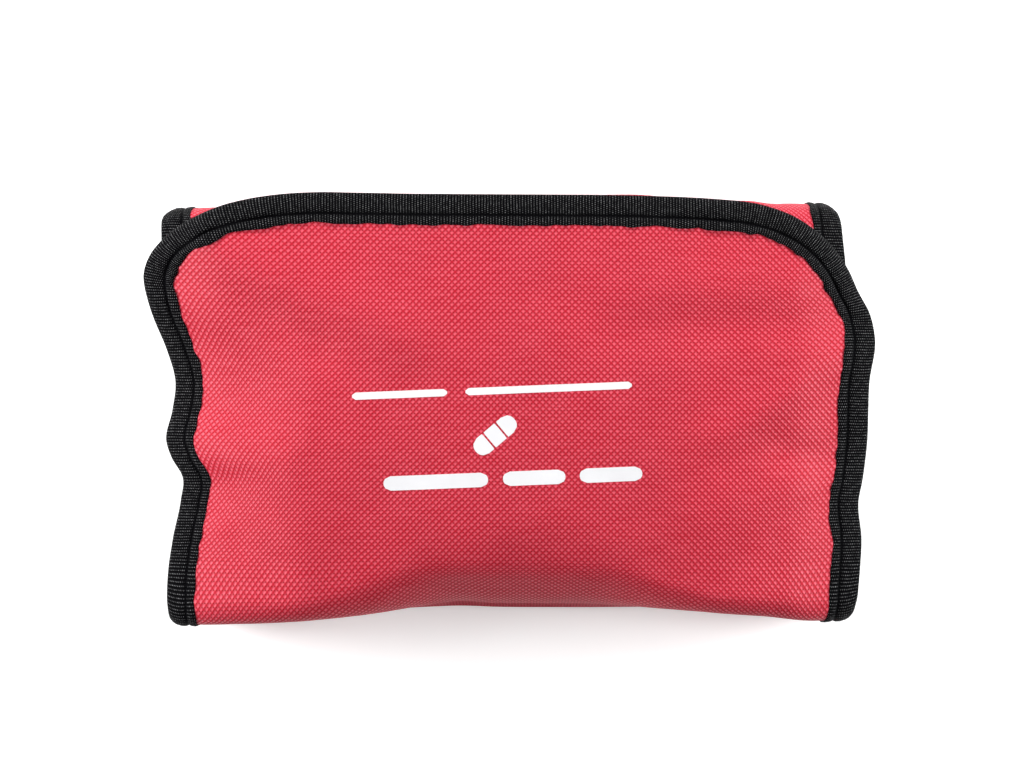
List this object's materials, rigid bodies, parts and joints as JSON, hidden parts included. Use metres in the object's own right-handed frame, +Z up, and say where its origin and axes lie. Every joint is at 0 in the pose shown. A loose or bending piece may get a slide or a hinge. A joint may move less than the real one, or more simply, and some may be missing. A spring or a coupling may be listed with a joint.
{
  "type": "first aid kit",
  "caption": "Red fold-up fabric first aid pouch with black bound edges, rounded front flap, inner clear pockets, bandages, scissors and tweezers inside.",
  "frame": {"origin": "centre of the footprint, on the surface that the closed pouch lies on", "axes": "+X along the folds, +Y from the bottom fold to the top fold, +Z up through the front flap"},
  "size_m": [0.228, 0.138, 0.05],
  "materials": {
    "red_fabric": "coated red oxford weave",
    "red_lining": "thin coated lining cloth",
    "black_binding": "ribbed woven binding tape",
    "hook_and_loop": "hook and loop pile",
    "clear_sheet": "clear flexible sheet",
    "zip_black": "nylon coil and tape",
    "zip_metal": "black painted die casting",
    "elastic_black": "knitted elastic",
    "crepe_cotton": "crepe cotton",
    "white_gauze": "white open-weave cotton",
    "spool_plastic": "moulded white plastic",
    "tape_cloth": "adhesive cloth tape",
    "sterile_paper": "white medical paper",
    "plaster_paper": "plain wrapper paper",
    "wipe_foil": "foil laminate sachet",
    "foil_film": "silvered film in a clear bag",
    "glove_film": "clear bag round blue gloves",
    "shield_film": "pale film bag",
    "leaflet_paper": "folded paper",
    "steel": "brushed stainless steel",
    "black_handle": "moulded black handle",
    "white_print": "white screen print on the flap's cloth"
  },
  "bodies": {
    "pouch_back": {"rear_outer_fabric": "red_fabric", "rear_lining": "red_lining", "rear_edge_binding": "black_binding", "pocket_gusset": "black_binding", "pocket_window": "clear_sheet", "pocket_frame_tape": "black_binding", "pocket_zip_tape": "zip_black", "pocket_zip_coil": "zip_black", "crepe_bandage": "crepe_cotton", "bandage_clips": "steel", "gauze_rolls": "white_gauze", "tape_spool": "spool_plastic", "adhesive_tape": "tape_cloth", "triangular_bandage_pack": "sterile_paper", "foil_blanket_pack": "foil_film", "gauze_swab_packs": "sterile_paper", "glove_pack": "glove_film", "wound_dressing_packs": "sterile_paper", "face_shield_pack": "shield_film", "safety_pins": "steel"},
    "zip_slider": {"zip_slider": "zip_metal"},
    "zip_pull": {"zip_pull": "zip_metal"},
    "bottom_fold": {"bottom_fold_fabric": "red_fabric", "bottom_fold_lining": "red_lining", "bottom_fold_binding": "black_binding"},
    "front_flap": {"flap_outer_fabric": "red_fabric", "flap_lining": "red_lining", "flap_binding": "black_binding", "hook_strip": "hook_and_loop", "slip_pocket_window": "clear_sheet", "slip_pocket_gusset": "black_binding", "plaster_strips": "plaster_paper", "antiseptic_wipes": "wipe_foil", "guide_leaflet": "leaflet_paper"},
    "top_fold": {"top_fold_fabric": "red_fabric", "top_fold_lining": "red_lining", "top_fold_binding": "black_binding"},
    "inner_flap": {"inner_flap_fabric": "red_fabric", "inner_flap_lining": "red_lining", "inner_flap_binding": "black_binding", "loop_strip": "hook_and_loop", "scissors_keepers": "elastic_black", "tweezers_keeper": "elastic_black", "scissors_fixed_half": "steel", "scissors_fixed_bow": "black_handle", "scissors_rivet": "steel", "tweezers_fixed_arm": "steel"},
    "scissors_moving": {"scissors_moving_half": "steel", "scissors_moving_bow": "black_handle"},
    "tweezers_moving": {"tweezers_moving_arm": "steel"}
  },
  "joints": [
    {"name": "bottom_fold_hinge", "type": "hinge", "parent": "pouch_back", "child": "bottom_fold", "pos_m": [0, -0.069, 0], "axis": [1, 0, 0], "range_deg": [0, 90]},
    {"name": "front_flap_hinge", "type": "hinge", "parent": "bottom_fold", "child": "front_flap", "pos_m": [0, -0.069, 0.05], "axis": [1, 0, 0], "range_deg": [0, 90]},
    {"name": "top_fold_hinge", "type": "hinge", "parent": "pouch_back", "child": "top_fold", "pos_m": [0, 0.069, 0], "axis": [-1, 0, 0], "range_deg": [0, 90]},
    {"name": "inner_flap_hinge", "type": "hinge", "parent": "top_fold", "child": "inner_flap", "pos_m": [0, 0.069, 0.0458], "axis": [-1, 0, 0], "range_deg": [0, 90]},
    {"name": "zip_slide", "type": "slide", "parent": "pouch_back", "child": "zip_slider", "axis": [-1, 0, 0], "range_m": [0, 0.166]},
    {"name": "zip_pull_pivot", "type": "hinge", "parent": "zip_slider", "child": "zip_pull", "pos_m": [0.083, -0.007, 0.0344], "axis": [0, 1, 0], "range_deg": [0, 170]},
    {"name": "scissors_pivot", "type": "hinge", "parent": "inner_flap", "child": "scissors_moving", "pos_m": [-0.005, 0.027, 0.0369], "axis": [0, 0, 1], "range_deg": [0, 22]},
    {"name": "tweezers_spring", "type": "hinge", "parent": "inner_flap", "child": "tweezers_moving", "pos_m": [-0.072, 0.05465, 0.0382], "axis": [0, 0, -1], "range_deg": [0, 4.8], "stiffness_Nm_per_rad": 0.5}
  ],
  "couplings": [
    {"joint": "front_flap_hinge", "follows": "bottom_fold_hinge", "ratio": 1},
    {"joint": "top_fold_hinge", "follows": "bottom_fold_hinge", "ratio": 1},
    {"joint": "inner_flap_hinge", "follows": "bottom_fold_hinge", "ratio": 1}
  ]
}
